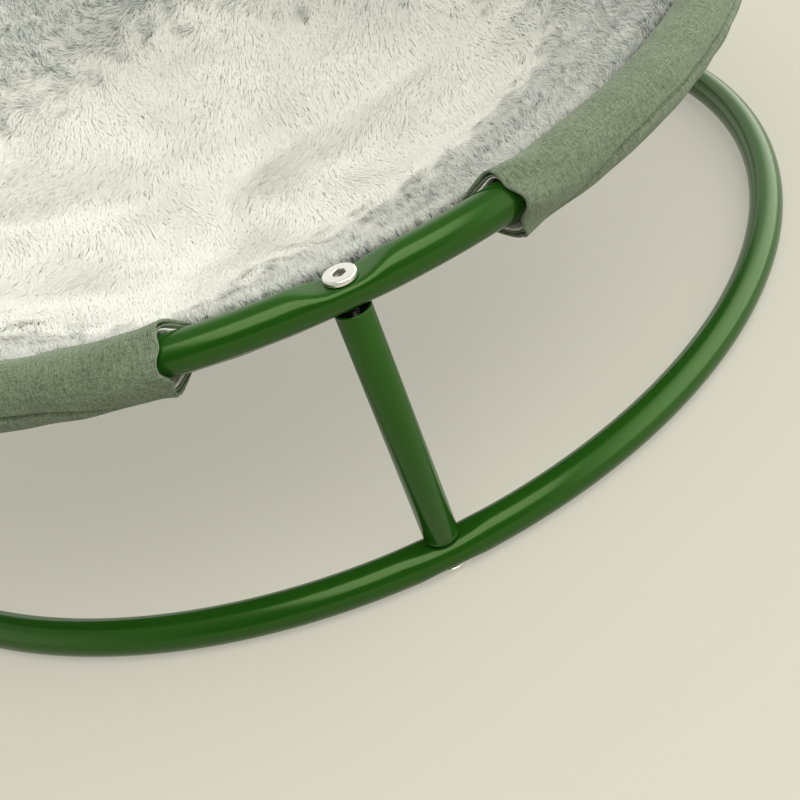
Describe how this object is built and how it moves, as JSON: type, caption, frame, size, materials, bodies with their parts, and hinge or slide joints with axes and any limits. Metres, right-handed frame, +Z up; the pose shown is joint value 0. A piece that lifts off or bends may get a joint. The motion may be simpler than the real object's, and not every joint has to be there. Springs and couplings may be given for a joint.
{
  "type": "round pet bed",
  "caption": "Raised round pet bed: two green steel tube rings on short posts, with a plush-lined fabric sling sleeved onto the upper ring.",
  "frame": {"origin": "centre of the lower ring, on the floor", "axes": "+Z up along the bed's axis, the front post at -Y, +X to the right seen from the front"},
  "size_m": [0.5338, 0.5317, 0.1494],
  "materials": {
    "green_enamel": "gloss powder enamel on steel tube",
    "zinc_plate": "bright zinc plate",
    "sage_linen": "heathered plain weave",
    "cream_plush": "long soft pile with grey tips"
  },
  "bodies": {
    "root": {"lower_ring": "green_enamel", "upper_arc_front": "green_enamel", "upper_arc_right": "green_enamel", "upper_arc_left": "green_enamel", "post_front": "green_enamel", "post_right": "green_enamel", "post_left": "green_enamel", "insert_top_front": "zinc_plate", "insert_top_right": "zinc_plate", "insert_top_left": "zinc_plate", "insert_bottom_front": "zinc_plate", "insert_bottom_right": "zinc_plate", "insert_bottom_left": "zinc_plate", "bolt_top_front": "zinc_plate", "bolt_top_right": "zinc_plate", "bolt_top_left": "zinc_plate", "bolt_bottom_front": "zinc_plate", "bolt_bottom_right": "zinc_plate", "bolt_bottom_left": "zinc_plate", "sleeve_front_right": "sage_linen", "sleeve_back": "sage_linen", "sleeve_front_left": "sage_linen", "sling_underside": "sage_linen", "plush_lining": "cream_plush"}
  },
  "joints": []
}
